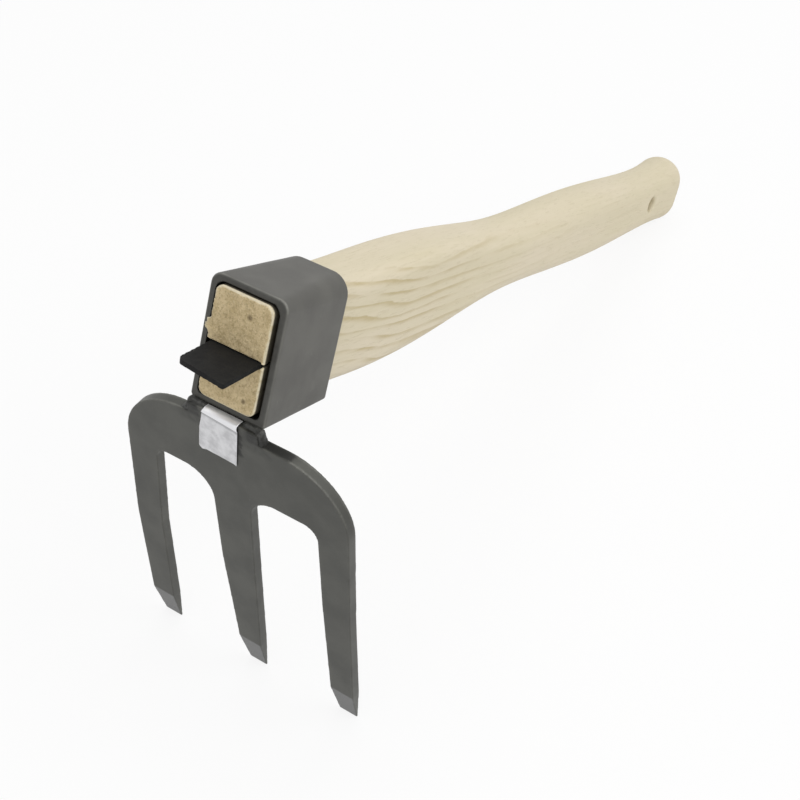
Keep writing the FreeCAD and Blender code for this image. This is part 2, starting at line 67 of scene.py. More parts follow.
def find_tool_frame():
    """The tool's frame in the row frame, from the wedge's slide and the two ends of the eye."""
    slide = Vector(frame["joints"][0]["axis"])
    turn = Matrix.Rotation(math.atan2(-slide.z, slide.x) + WEDGE_TILT, 4, "Y")
    back = turn.inverted()
    points = np.array([back @ v.co for v in frame["nodes"]["eye_band"].data.vertices])
    rear = points[points[:, 0] > points[:, 0].max() - 0.1 * MM]
    middle = (rear.min(axis=0) + rear.max(axis=0)) / 2
    middle[0] = points[:, 0].min()
    return Matrix.Translation(turn @ Vector(middle)) @ turn


TOOL = find_tool_frame()
TO_TOOL = TOOL.inverted()


def node_surface(node):
    """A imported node's surface in the tool's frame."""
    mesh = frame["nodes"][node].data.copy()
    mesh.materials.clear()
    mesh.transform(TO_TOOL)
    return mesh


def node_span(node):
    """A node's lowest and highest corners in the tool's frame."""
    points = read_points(node_surface(node))
    return Vector(points.min(axis=0)), Vector(points.max(axis=0))


WOOD_FRONT = node_span("handle")[0].x


def find_plate_frame():
    """The plate's frame in the tool's: X back through the steel, Z up its face to the eye."""
    turn = Matrix.Rotation(-PLATE_LEAN, 4, "Y")
    points = np.array([turn.inverted() @ v.co for v in node_surface("fork_plate").vertices])
    face = points[:, 0].min()
    eye = read_points(node_surface("eye_band"))
    underside = eye[eye[:, 0] < MM][:, 2].min()
    height = (underside - face * math.sin(PLATE_LEAN)) / math.cos(PLATE_LEAN)
    return Matrix.Translation(turn @ Vector((face, 0, height))) @ turn


PLATE = find_plate_frame()
TO_PLATE = np.array(PLATE.inverted())


def on_plate(points):
    """Points of the tool's frame in the plate's."""
    return points @ TO_PLATE[:3, :3].T + TO_PLATE[:3, 3]


# ---------------------------------------------------------------- meshes


def new_object(name, mesh, place=Matrix.Identity(4)):
    piece = bpy.data.objects.new(name, mesh)
    bpy.context.scene.collection.objects.link(piece)
    piece.matrix_world = place
    return piece


def new_mesh(name, points, faces):
    mesh = bpy.data.meshes.new(name)
    mesh.from_pydata([tuple(p) for p in points], [], faces)
    return mesh


def write_points(mesh, points):
    mesh.vertices.foreach_set("co", points.ravel())
    mesh.update()


def read_normals(mesh):
    normals = np.empty(len(mesh.vertices) * 3)
    mesh.vertex_normals.foreach_get("vector", normals)
    return normals.reshape(-1, 3)


def averaged(mesh, values, rounds, share=0.5):
    """Values at the vertices, drawn towards their neighbours' mean again and again."""
    pairs = np.empty(len(mesh.edges) * 2, dtype=np.int64)
    mesh.edges.foreach_get("vertices", pairs)
    a, b = pairs.reshape(-1, 2).T
    size = len(mesh.vertices)
    count = np.bincount(a, minlength=size) + np.bincount(b, minlength=size)
    columns = [values] if values.ndim == 1 else list(values.T)
    for _ in range(rounds):
        for i, column in enumerate(columns):
            total = np.bincount(a, column[b], size) + np.bincount(b, column[a], size)
            columns[i] = column + share * (total / count - column)
    return columns[0] if values.ndim == 1 else np.stack(columns, axis=1)


def soft_noise(points, size, octaves=3, seed=0.0):
    """Noise from about -1 to 1 whose lumps are of this size, one number or one for each axis."""
    scaled = points / size + seed
    return np.array([noise.fractal(Vector(p), 0.9, 2.0, octaves) for p in scaled])


def smoothstep(low, high, values):
    t = np.clip((values - low) / (high - low), 0, 1)
    return t * t * (3 - 2 * t)


def window(low, high, soft, values):
    """1 between two values and 0 outside them, with soft ends."""
    return smoothstep(low - soft, low + soft, values) * smoothstep(high + soft, high - soft, values)


def store(mesh, name, values):
    """Keep one number for each vertex, for the materials."""
    attribute = mesh.attributes.new(name, "FLOAT", "POINT")
    attribute.data.foreach_set("value", values.astype(np.float32))


def slice_of(mesh, x_low, x_high):
    """The part of a closed surface between two planes across the handle, closed again."""
    cut = bmesh.new()
    cut.from_mesh(mesh)
    bmesh.ops.remove_doubles(cut, verts=cut.verts, dist=WELDED)
    for x, normal in ((x_low, (-1, 0, 0)), (x_high, (1, 0, 0))):
        everything = cut.verts[:] + cut.edges[:] + cut.faces[:]
        made = bmesh.ops.bisect_plane(cut, geom=everything, plane_co=(x, 0, 0),
                                      plane_no=normal, clear_outer=True)
        rim = [g for g in made["geom_cut"] if isinstance(g, bmesh.types.BMEdge)]
        if rim:
            bmesh.ops.triangle_fill(cut, edges=rim, use_beauty=True)
    part = bpy.data.meshes.new("slice")
    cut.to_mesh(part)
    cut.free()
    return part


def even_skin(mesh, voxel):
    """A new skin of small even faces round a closed surface."""
    work = new_object("work", mesh)
    remesh = work.modifiers.new("even", "REMESH")
    remesh.mode = "VOXEL"
    remesh.voxel_size = voxel
    evaluated = work.evaluated_get(bpy.context.evaluated_depsgraph_get())
    skin = bpy.data.meshes.new_from_object(evaluated)
    bpy.data.objects.remove(work)
    return skin


SHARP_TURN = math.radians(35)
EDGE_REACH = 0.55             # in voxels: how far off a sharp edge still catches a vertex


def points_on_edges(mesh, spacing):
    """Points closely spaced along the edges where a surface turns sharply."""
    solid = bmesh.new()
    solid.from_mesh(mesh)
    bmesh.ops.remove_doubles(solid, verts=solid.verts, dist=WELDED)
    found = []
    for edge in solid.edges:
        if edge.is_manifold and edge.calc_face_angle() > SHARP_TURN:
            start, end = (v.co for v in edge.verts)
            steps = max(1, math.ceil(edge.calc_length() / spacing))
            found += [start.lerp(end, i / steps) for i in range(steps + 1)]
    solid.free()
    return found


def edge_tree(mesh, spacing):
    """A search tree of points on a surface's sharp edges."""
    corners = points_on_edges(mesh, spacing)
    edges = KDTree(len(corners))
    for i, corner in enumerate(corners):
        edges.insert(corner, i)
    edges.balance()
    return edges


def drawn_onto(points, mesh, voxel, reach):
    """Points moved to the nearest place on a surface, or on a sharp edge within reach."""
    surface = BVHTree.FromPolygons([v.co for v in mesh.vertices],
                                   [p.vertices for p in mesh.polygons])
    edges = edge_tree(mesh, voxel / 3)
    moved = []
    for point in points:
        corner, _, distance = edges.find(Vector(point))
        near = distance is not None and distance < reach * voxel
        moved.append(corner if near else surface.find_nearest(Vector(point))[0])
    return np.array(moved)


def worn_skin(source, voxel, rounding, reach=EDGE_REACH):
    """An even skin laid on the source's surface, its edges eased by some rounds of averaging."""
    skin = even_skin(source, voxel)
    points = drawn_onto(read_points(skin), source, voxel, reach)
    write_points(skin, averaged(skin, points, rounding))
    return skin


def edge_measure(mesh, points, normals, rounds):
    """How sharply the surface turns at each vertex: above 0 on outer edges, below 0 in corners."""
    bend = ((points - averaged(mesh, points, 1, 1.0)) * normals).sum(axis=1)
    return averaged(mesh, bend, rounds)


def join(name, meshes):
    """One mesh of several, with the attributes of each."""
    joined = bmesh.new()
    for mesh in meshes:
        joined.from_mesh(mesh)
    whole = bpy.data.meshes.new(name)
    joined.to_mesh(whole)
    joined.free()
    return whole


def put(name, mesh, material, body, slot, *nodes):
    """A finished piece: in its place, dressed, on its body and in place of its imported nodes."""
    mesh.name = name
    mesh.materials.clear()
    mesh.materials.append(material)
    mesh.transform(TOOL)
    mesh.polygons.foreach_set("use_smooth", np.ones(len(mesh.polygons), dtype=bool))
    mesh.update()
    piece = new_object(name, mesh)
    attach(piece, body)
    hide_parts(*nodes)


# ---------------------------------------------------------------- materials


def colour(code):
    """A linear colour from a hexadecimal one."""
    parts = [int(code[i:i + 2], 16) / 255 for i in (0, 2, 4)]
    return [p / 12.92 if p <= 0.04045 else ((p + 0.055) / 1.055) ** 2.4 for p in parts] + [1.0]


class Recipe:
    """A material's node tree, built a node at a time, over places in the tool's frame."""

    def __init__(self, name):
        self.material = bpy.data.materials.new(name)
        self.material.use_nodes = True
        self.tree = self.material.node_tree
        self.shader = self.tree.nodes["Principled BSDF"]
        place = self.add("TexCoord").outputs["Object"]
        self.here = self.add("Mapping", Vector=place, Rotation=TO_TOOL.to_euler(),
                             Location=TO_TOOL.translation).outputs["Vector"]

    def set(self, socket, given):
        if isinstance(given, bpy.types.NodeSocket):
            self.tree.links.new(given, socket)
        else:
            socket.default_value = given

    def add(self, kind, settings=None, **inputs):
        made = self.tree.nodes.new("ShaderNode" + kind)
        for key, setting in (settings or {}).items():
            setattr(made, key, setting)
        for key, given in inputs.items():
            self.set(made.inputs[key.replace("_", " ")], given)
        return made

    def maths(self, operation, *terms):
        made = self.add("Math", {"operation": operation})
        for socket, term in zip(made.inputs, terms):
            self.set(socket, term)
        return made.outputs[0]

    def product(self, *factors):
        whole = factors[0]
        for factor in factors[1:]:
            whole = self.maths("MULTIPLY", whole, factor)
        return whole

    def stretched(self, scale, turn=(0, 0, 0)):
        """The place on the piece, turned and scaled for one texture."""
        return self.add("Mapping", Vector=self.here, Scale=scale, Rotation=turn).outputs["Vector"]

    def noise(self, scale, detail=4.0, roughness=0.55, turn=(0, 0, 0)):
        """Noise with so many lumps to a metre along each axis."""
        made = self.add("TexNoise", Vector=self.stretched(scale, turn), Scale=1.0, Detail=detail,
                        Roughness=roughness)
        return made.outputs["Fac"]

    def dots(self, scale, small, large):
        """Scattered dots, 1 in their middles, in cells of so many to a metre along each axis."""
        made = self.add("TexVoronoi", Vector=self.stretched(scale), Scale=1.0)
        return self.band(made.outputs["Distance"], small, large, 1.0, 0.0)

    def band(self, factor, low, high, out_low=0.0, out_high=1.0):
        """A factor spread smoothly from one range to another."""
        made = self.add("MapRange", {"interpolation_type": "SMOOTHSTEP"}, Value=factor)
        made.inputs["From Min"].default_value = low
        made.inputs["From Max"].default_value = high
        made.inputs["To Min"].default_value = out_low
        made.inputs["To Max"].default_value = out_high
        return made.outputs["Result"]

    def mix(self, factor, first, second):
        """The first colour, turned into the second by a factor."""
        made = self.add("Mix", {"data_type": "RGBA"})
        for index, given in ((0, factor), (6, first), (7, second)):
            self.set(made.inputs[index], given)
        return made.outputs[2]

    def between(self, factor, first, second):
        """The first number, turned into the second by a factor."""
        made = self.add("Mix", {"data_type": "FLOAT"})
        for index, given in ((0, factor), (2, first), (3, second)):
            self.set(made.inputs[index], given)
        return made.outputs[0]

    def stored(self, name):
        return self.add("Attribute", {"attribute_name": name}).outputs["Fac"]

    def bump(self, height, depth):
        """Relief of this depth in metres for a height from 0 to 1."""
        return self.add("Bump", Height=height, Distance=depth, Strength=1.0).outputs["Normal"]

    def finish(self, **inputs):
        for key, given in inputs.items():
            self.set(self.shader.inputs[key.replace("_", " ")], given)
        return self.material


YEAR = 4.4 * MM               # from one growth line to the next
LEVEL_DRIFT = 10 * MM         # how far the sheets of growth rise along the handle
LEVEL_SWAY = 11 * MM          # and how far they bend, in wide, middling and fine waves
LEVEL_UNEVEN = 5 * MM
LEVEL_SHIVER = 1.1 * MM


def growth_lines(r):
    """Thin tan lines where level sheets of growth come out on the handle's sides."""
    place = r.add("SeparateXYZ", Vector=r.here)
    along, up = place.outputs["X"], place.outputs["Z"]
    sway = r.noise((8, 22, 34), detail=2, roughness=0.5)
    shiver = r.noise((90, 260, 420), detail=3)
    spacing = r.noise((3, 30, 190), detail=1)
    level = r.maths("ADD", up, r.band(along, 15 * MM, 110 * MM, 0.0, LEVEL_DRIFT))
    level = r.maths("MULTIPLY_ADD", sway, LEVEL_SWAY, level)
    level = r.maths("MULTIPLY_ADD", spacing, LEVEL_UNEVEN, level)
    level = r.maths("MULTIPLY_ADD", shiver, LEVEL_SHIVER, level)
    year = r.maths("FRACT", r.maths("DIVIDE", level, YEAR))
    line = r.maths("MULTIPLY", r.band(year, 0.35, 0.86), r.band(year, 0.90, 1.0, 1.0, 0.0))
    line = r.maths("POWER", line, 1.8)
    uneven = r.noise((22, 120, 140), detail=3)
    return r.product(line, r.band(uneven, 0.36, 0.62, 0.08, 1.0), r.stored("flank"),
                     r.band(along, 70 * MM, 220 * MM, 1.0, 0.16))


def make_wood():
    """Pale ash-like wood: tan growth lines and fine flecks on its sides, blotchy end grain."""
    r = Recipe("pale_wood")
    broad = r.noise((9, 45, 45), detail=2)
    streaks = r.noise((26, 620, 620), detail=4, roughness=0.6)
    flecks = r.band(r.noise((150, 1150, 1150), detail=3, roughness=0.6), 0.54, 0.68)
    lines = growth_lines(r)
    side = r.mix(r.band(broad, 0.3, 0.7), colour("d9ceb6"), colour("d4caad"))
    side = r.mix(r.maths("MULTIPLY", r.band(streaks, 0.30, 0.72), 0.35), side, colour("e2d7c2"))
    side = r.mix(r.maths("MULTIPLY", flecks, 0.20), side, colour("bcae8c"))
    side = r.mix(r.maths("MULTIPLY", lines, 0.60), side, colour("b29f6c"))
    end = r.stored("end_grain")
    blots = r.noise((230, 260, 260), detail=5, roughness=0.6)
    fibres = r.noise((600, 1100, 1500), detail=4, roughness=0.7)
    cut = r.mix(r.band(blots, 0.34, 0.68), colour("d7c298"), colour("bda87d"))
    grains = r.noise((900, 1300, 1000), detail=3, roughness=0.65)
    cut = r.mix(r.maths("MULTIPLY", r.band(fibres, 0.40, 0.72), 0.55), cut, colour("e4d2aa"))
    cut = r.mix(r.maths("MULTIPLY", r.band(grains, 0.50, 0.68), 0.50), cut, colour("8f7a52"))
    cut = r.mix(r.maths("MULTIPLY", r.dots((900, 950, 950), 0.05, 0.30), 0.38), cut,
                colour("7d6947"))
    cut = r.mix(r.maths("MULTIPLY", r.stored("stain"), 0.80), cut, colour("5f4d31"))
    skin = r.mix(end, side, cut)
    skin = r.mix(r.maths("MULTIPLY", r.stored("arris"), 0.85), skin, colour("e0d3b0"))
    skin = r.mix(r.stored("shade"), skin, colour("1d1911"))
    rough_side = r.maths("MULTIPLY_ADD", flecks, -0.5, streaks)
    relief = r.between(end, rough_side, r.maths("MULTIPLY", r.maths("ADD", fibres, blots), 2.4))
    return r.finish(Base_Color=skin, Roughness=r.band(streaks, 0.3, 0.7, 0.54, 0.66),
                    Normal=r.bump(relief, 0.00010), Specular_IOR_Level=0.3)


# Near black, for soot and for painted shade in the hollows and corners
SOOT_AND_SHADE_BLACK = "1b1b19"


def steel_recipe(name, dull, pale, bare):
    """Smooth dark steel: faint clouds and scratches, paler on worn edges and painted highlights,
    near black with soot and painted shade in its corners and hollows.
    """
    r = Recipe(name)
    cloud = r.noise((70, 70, 70), detail=4, roughness=0.5)
    grit = r.noise((2300, 2300, 2300), detail=3, roughness=0.6)
    scratch = r.noise((70, 2300, 160), detail=4, roughness=0.7, turn=(0, 0, 0.4))
    nicks = r.dots((210, 210, 210), 0.02, 0.055)
    base = r.mix(r.band(cloud, 0.3, 0.7), colour(dull), colour(pale))
    base = r.mix(r.maths("MULTIPLY", r.band(scratch, 0.60, 0.78), 0.14), base, colour(bare))
    base = r.mix(r.maths("MULTIPLY", nicks, 0.5), base, colour(bare))
    # Bare metal on worn edges; on the plate and the welds this also carries a painted highlight
    # where they face up
    wear_and_highlight = r.product(r.stored("wear_and_highlight"), r.band(cloud, 0.28, 0.60, 0.55, 1.0))
    base = r.mix(wear_and_highlight, base, colour(bare))
    # Soot and painted shade, mixed in by the stored mask
    r.base = r.mix(r.stored("grime_and_shade"), base, colour(SOOT_AND_SHADE_BLACK))
    r.height = r.maths("MULTIPLY_ADD", scratch, 0.4, grit)
    r.rough = r.maths("MULTIPLY_ADD", wear_and_highlight, -0.08, r.band(cloud, 0.3, 0.7, 0.52, 0.46))
    return r


def make_eye_steel():
    r = steel_recipe("eye_steel", "5b5a56", "61605b", "92928b")
    return r.finish(Base_Color=r.base, Roughness=r.rough, Normal=r.bump(r.height, 0.00003),
                    Metallic=0.5)


def make_plate_steel():
    """The plate's steel, with bright grinding marks across the bevels at its points."""
    r = steel_recipe("plate_steel", "4a4a46", "50504b", "8a8a83")
    ground = r.stored("ground")
    marks = r.noise((2400, 2400, 130), detail=4, roughness=0.7)
    bright = r.mix(r.band(marks, 0.3, 0.7), colour("484847"), colour("5e5e5d"))
    base = r.mix(ground, r.base, bright)
    rough = r.between(ground, r.rough, r.band(marks, 0.3, 0.7, 0.34, 0.44))
    height = r.maths("MULTIPLY_ADD", r.maths("MULTIPLY", marks, ground), 1.2, r.height)
    return r.finish(Base_Color=base, Roughness=rough, Normal=r.bump(height, 0.00003), Metallic=0.5)


def make_weld_steel():
    """Sooty weld metal, with a painted highlight where it faces up."""
    r = Recipe("weld_steel")
    lumps = r.noise((300, 300, 300), detail=5, roughness=0.6)
    grains = r.noise((1600, 1600, 1600), detail=4, roughness=0.7)
    base = r.mix(r.band(lumps, 0.35, 0.70), colour("2b2b29"), colour("434341"))
    # Painted highlight where the bead faces up
    base = r.mix(r.maths("MULTIPLY", r.stored("wear_and_highlight"), 0.4), base, colour("6c6c68"))
    return r.finish(Base_Color=base, Roughness=r.band(lumps, 0.3, 0.7, 0.60, 0.46), Metallic=0.4,
                    Normal=r.bump(r.maths("ADD", lumps, grains), 0.00006))


def make_wedge_black():
    """Matte black on sheared sheet steel, rubbed thin in a few spots."""
    r = Recipe("wedge_black")
    cloud = r.noise((160, 160, 160), detail=5, roughness=0.6)
    grain = r.noise((1800, 1800, 1800), detail=3, roughness=0.6)
    drag = r.noise((40, 1500, 300), detail=3, roughness=0.7)
    base = r.mix(r.band(cloud, 0.35, 0.7), colour("0b0b0b"), colour("121211"))
    base = r.mix(r.maths("MULTIPLY", r.band(drag, 0.64, 0.76), 0.15), base, colour("3a3937"))
    wear_and_highlight = r.product(r.stored("wear_and_highlight"), r.band(cloud, 0.44, 0.62))
    base = r.mix(r.maths("MULTIPLY", wear_and_highlight, 0.35), base, colour("4c4a46"))
    return r.finish(Base_Color=base, Roughness=r.band(cloud, 0.3, 0.7, 0.74, 0.62),
                    Specular_IOR_Level=0.22, Normal=r.bump(r.maths("ADD", grain, drag), 0.00005))


def make_foil():
    """Thin rubbed aluminium foil, faintly rolled along its length, with small dents, painted shade
    along its crease and a painted highlight on its roll.
    """
    r = Recipe("label_foil")
    rolled = r.noise((1300, 60, 60), detail=3, roughness=0.6)
    dents = r.noise((230, 230, 230), detail=4, roughness=0.55)
    spots = r.dots((190, 190, 190), 0.03, 0.09)
    base = r.mix(r.band(dents, 0.32, 0.66), colour("dadadc"), colour("c0c0c2"))
    base = r.mix(r.maths("MULTIPLY", r.band(rolled, 0.5, 0.75), 0.25), base, colour("e0e0e2"))
    # Painted shade along the crease
    base = r.mix(r.stored("crease"), base, colour("a0a0a3"))
    # Painted highlight on the band rolled over the plate's top edge
    base = r.mix(r.stored("roll"), base, colour("ececee"))
    base = r.mix(r.maths("MULTIPLY", spots, 0.35), base, colour("858587"))
    return r.finish(Base_Color=base, Roughness=r.band(dents, 0.3, 0.7, 0.42, 0.54), Metallic=0.6,
                    Normal=r.bump(r.maths("MULTIPLY_ADD", rolled, 0.3, dents), 0.00010))


# ---------------------------------------------------------------- handle

ROOT_SPLIT = 30 * MM          # the fine skin of the root meets the grip's inside the eye
ROOT_VOXEL = 0.36 * MM
GRIP_VOXEL = 1.1 * MM
END_DEPTH = 1 * MM            # how far behind the wood's front its end grain is dressed
GAP_END = 30 * MM             # how far behind the wood's front the dark gap reaches
STAINS = ((-2.8 * MM, 13.4 * MM, 1.5 * MM),     # y, z and radius
          (-6.4 * MM, -15.3 * MM, 1.3 * MM))


def dress_wood(mesh):
    """End grain, arrises, stains, dark gap and flanks, as numbers for the wood's material."""
    points, normals = read_points(mesh), read_normals(mesh)
    behind = points[:, 0] - WOOD_FRONT
    end = smoothstep(0.80, 0.95, -normals[:, 0]) * (behind < END_DEPTH)
    edge = edge_measure(mesh, points, normals, 2)
    arris = smoothstep(0.01 * MM, 0.04 * MM, edge) * (behind < END_DEPTH)
    stain = np.zeros(len(points))
    for y, z, size in STAINS:
        near = np.hypot(points[:, 1] - y, points[:, 2] - z)
        stain = np.maximum(stain, 1 - smoothstep(0.2 * size, size, near))
    store(mesh, "end_grain", end)
    store(mesh, "arris", arris)
    store(mesh, "stain", stain * end)
    store(mesh, "shade", 0.93 * window(0.95 * MM, GAP_END, 0.25 * MM, behind))
    store(mesh, "flank", smoothstep(0.25, 0.85, np.abs(normals[:, 1])))


def make_root(surface):
    """The wood in the eye: rough end grain, the saw cut, and fibres torn over its left edge."""
    root = worn_skin(slice_of(surface, -1, ROOT_SPLIT), ROOT_VOXEL, 2)
    points, normals = read_points(root), read_normals(root)
    on_end = smoothstep(0.6, 0.95, -normals[:, 0]) * (points[:, 0] < WOOD_FRONT + END_DEPTH)
    saw_marks = soft_noise(points, np.array([4, 1.1, 0.5]) * MM, 3, 3.7)
    torn = soft_noise(points, 2.4 * MM, 4, 9.1)
    points[:, 0] += np.clip(on_end * (0.08 * saw_marks + 0.15 * torn + 0.10) * MM, 0, None)
    ragged = soft_noise(points, np.array([3, 3, 0.9]) * MM, 4, 6.2)
    out_left = smoothstep(9.4 * MM, 12.1 * MM, points[:, 1])
    out_left *= smoothstep(-0.15 * MM, -0.8 * MM, points[:, 0])
    lip = window(2.6 * MM, 7.4 * MM, 0.6 * MM, points[:, 2])
    points[:, 1] += out_left * (lip * (1.2 + 0.9 * ragged) + 0.25 * ragged) * MM
    write_points(root, points)
    dress_wood(root)
    return root


def make_grip(surface):
    """The shaped handle behind the eye, sanded by hand: never quite straight or even."""
    grip = worn_skin(slice_of(surface, ROOT_SPLIT, 1), GRIP_VOXEL, 2)
    points, normals = read_points(grip), read_normals(grip)
    waves = soft_noise(points, np.array([60, 16, 16]) * MM, 2, 5.3)
    free = smoothstep(40 * MM, 52 * MM, points[:, 0])
    sink = free * 0.06 * (waves - 1) * MM
    write_points(grip, points + normals * sink[:, None])
    dress_wood(grip)
    return grip


def make_handle(wood):
    surface = node_surface("handle")
    whole = join("handle", [make_root(surface), make_grip(surface)])
    put("wooden_handle", whole, wood, "tool", "handle_wood", "handle")


# ---------------------------------------------------------------- eye, plate and wedge


def edge_wear(mesh, bright, rounds=3):
    """Bare metal on outer edges, in patches."""
    points, normals = read_points(mesh), read_normals(mesh)
    edge = edge_measure(mesh, points, normals, rounds)
    patchy = 0.75 + 0.5 * soft_noise(points, 5 * MM, 3, 2.2)
    return bright * smoothstep(0.012 * MM, 0.06 * MM, edge) * np.clip(patchy, 0, 1)


def hammered(mesh, depth, size, seed, inset=0.0):
    """Faint hollows sunk into a flat surface, and the whole surface drawn in by the inset."""
    points, normals = read_points(mesh), read_normals(mesh)
    hollow = (soft_noise(points, size, 3, seed) - 1) * 0.5 * depth - inset
    write_points(mesh, points + normals * hollow[:, None])


def make_eye(steel):
    """The socket: painted shade, near black, on its inner wall; dirt and painted shade on its front
    rim; rubbed on its outer edges.
    """
    band = worn_skin(node_surface("eye_band"), 0.42 * MM, 1)
    hammered(band, 0.05 * MM, 9 * MM, 1.3)
    points, normals = read_points(band), read_normals(band)
    outwards = (points[:, 1:] * normals[:, 1:]).sum(axis=1) / np.hypot(points[:, 1], points[:, 2])
    # Painted shade: the hollow's inner wall is darkened nearly black
    inside = smoothstep(-0.10, -0.35, outwards)
    # Dirt and painted shade: the front rim is darkened in patches
    rim = smoothstep(0.75, 0.97, -normals[:, 0])
    patchy = soft_noise(points, 3 * MM, 3, 8.4)
    store(band, "wear_and_highlight", edge_wear(band, 0.7) * (1 - inside))
    store(band, "grime_and_shade", np.clip(np.maximum(inside * 0.95, rim * (0.42 + 0.12 * patchy)), 0, 1))
    put("steel_eye", band, steel, "tool", "eye_steel", "eye_band")


FORK_VOXEL = 0.48 * MM
FORK_REACH = 0.72             # in voxels, as EDGE_REACH: the fork's long edges stay straight
BEVEL_TOP = 127 * MM          # where the points' ground bevels start, from the eye down the plate
SOOT_AND_SHADOW_STRETCH = (-27.5 * MM, -15.5 * MM)     # the stretch of the right shoulder's top edge blackened by soot and painted shadow
LABEL_RIGHT = -5.6 * MM       # the label's right edge, half way down


def make_plate(steel):
    """The fork: soot and painted shade round its welds and under the eye, dirt and painted shadow
    beside the label, worn edges with a painted highlight where they face up, ground bright across
    its points.
    """
    steel_surface = node_surface("fork_plate")
    plate = worn_skin(steel_surface, FORK_VOXEL, 1, FORK_REACH)
    hammered(plate, 0.05 * MM, 14 * MM, 7.7)
    points, normals = read_points(plate), read_normals(plate)
    placed = on_plate(points)
    facing = normals @ TO_PLATE[:3, :3].T
    height = placed[:, 2]
    ragged = soft_noise(points, 2.2 * MM, 4, 3.1)
    low = smoothstep(-BEVEL_TOP + 0.5 * MM, -BEVEL_TOP - 0.5 * MM, height)
    slanted = smoothstep(0.997, 0.985, -facing[:, 0]) * smoothstep(0.6, 0.8, -facing[:, 0])
    store(plate, "ground", low * slanted)
    y = placed[:, 1] + 0.9 * ragged * MM
    # Soot and painted shadow along a stretch of the right shoulder's top edge
    top_edge = smoothstep(0.6, 0.85, facing[:, 2]) * (height > -12 * MM)
    soot_and_shade = top_edge * window(SOOT_AND_SHADOW_STRETCH[0], SOOT_AND_SHADOW_STRETCH[1], 0.8 * MM, y) * 0.75
    # Soot and painted shade on the face just under the eye
    by_neck = window(-10 * MM, 0, 1.5 * MM, height) * window(-19 * MM, 19 * MM, 2 * MM, y)
    soot_and_shade = np.maximum(soot_and_shade, by_neck * (0.30 + 0.25 * ragged))
    # Soot and painted shade in the corners beside the neck, under the eye
    corners = window(-6.5 * MM, 0, 1.5 * MM, height)
    corners *= window(9.5 * MM, 17 * MM, 1.5 * MM, np.abs(y))
    soot_and_shade = np.maximum(soot_and_shade, corners * (0.78 + 0.25 * ragged))
    # Dirt and painted shadow along the label's right edge
    strip = window(LABEL_RIGHT - 2.0 * MM, LABEL_RIGHT + 0.6 * MM, 0.5 * MM, y)
    strip *= window(-16 * MM, -3.0 * MM, 1 * MM, height)
    soot_and_shade = np.maximum(soot_and_shade, strip * (0.75 + 0.4 * ragged))
    edges = edge_tree(steel_surface, 0.2 * MM)
    apart = np.array([edges.find(Vector(p))[2] for p in points])
    wear_and_highlight = smoothstep(1.0 * MM, 0.4 * MM, apart)
    wear_and_highlight *= 0.6 + 0.4 * soft_noise(points, 5 * MM, 3, 2.2)
    # Painted highlight: edges that face up the plate are kept brighter than the rest
    wear_and_highlight *= (0.10 + 0.45 * smoothstep(0.05, 0.45, facing[:, 2])) * (1 - 0.75 * corners)
    store(plate, "wear_and_highlight", wear_and_highlight)
    store(plate, "grime_and_shade", np.clip(soot_and_shade * (1 - wear_and_highlight), 0, 0.9))
    put("fork", plate, steel, "tool", "plate_steel", "fork_plate")


def make_wedge(black):
    wedge = worn_skin(node_surface("wedge"), 0.3 * MM, 1)
    hammered(wedge, 0.06 * MM, 3.5 * MM, 4.4, 0.08 * MM)
    store(wedge, "wear_and_highlight", edge_wear(wedge, 0.8, 2))
    put("driven_wedge", wedge, black, "wedge", "wedge_steel", "wedge")


# ---------------------------------------------------------------- welds

WELD_VOXEL = 0.3 * MM
STEEL = 4.2 * MM              # the plate's thickness
FILLET_STEPS = 9
FILLET_INSET = 0.3 * MM       # from the plate's two faces to a fillet's
FILLET_INNER = 14.9 * MM      # from the plate's middle to where a fillet starts
FILLET_FLOOR = -6.2 * MM      # its lowest place, under the eye
DROP_RADIUS = 1.9 * MM
REAR_RADIUS = 2.4 * MM
# side, sign of y, the fillet's top, how far out its foot is, and how full its curve
FILLETS = (("left", 1, -0.6 * MM, 18.6 * MM, 0.2),
           ("right", -1, -1.2 * MM, 16.8 * MM, 0.6))


def melted(mesh, rounds, seed):
    """A rough block of weld metal run smooth, with faint ripples."""
    skin = even_skin(mesh, WELD_VOXEL)
    write_points(skin, averaged(skin, read_points(skin), rounds))
    points, normals = read_points(skin), read_normals(skin)
    ripple = soft_noise(points, 1.6 * MM, 3, seed)
    write_points(skin, points + normals * (0.12 * ripple)[:, None] * MM)
    # Painted highlight: the bead is paler where it faces up and on its ripples' crests
    lit = smoothstep(0.2, 0.9, read_normals(skin)[:, 2]) * smoothstep(-0.3, 0.5, ripple)
    store(skin, "wear_and_highlight", lit)
    return skin


def prism(outline, low, high):
    """A block between two depths through the steel; the outline is (y, height) on the plate."""
    count = len(outline)
    points = [PLATE @ Vector((depth, y, z)) for depth in (low, high) for y, z in outline]
    walls = [(i, (i + 1) % count, count + (i + 1) % count, count + i) for i in range(count)]
    ends = [tuple(range(count))[::-1], tuple(range(count, 2 * count))]
    block = new_mesh("block", points, walls + ends)
    solid = bmesh.new()
    solid.from_mesh(block)
    bmesh.ops.recalc_face_normals(solid, faces=solid.faces[:])
    solid.to_mesh(block)
    solid.free()
    return block


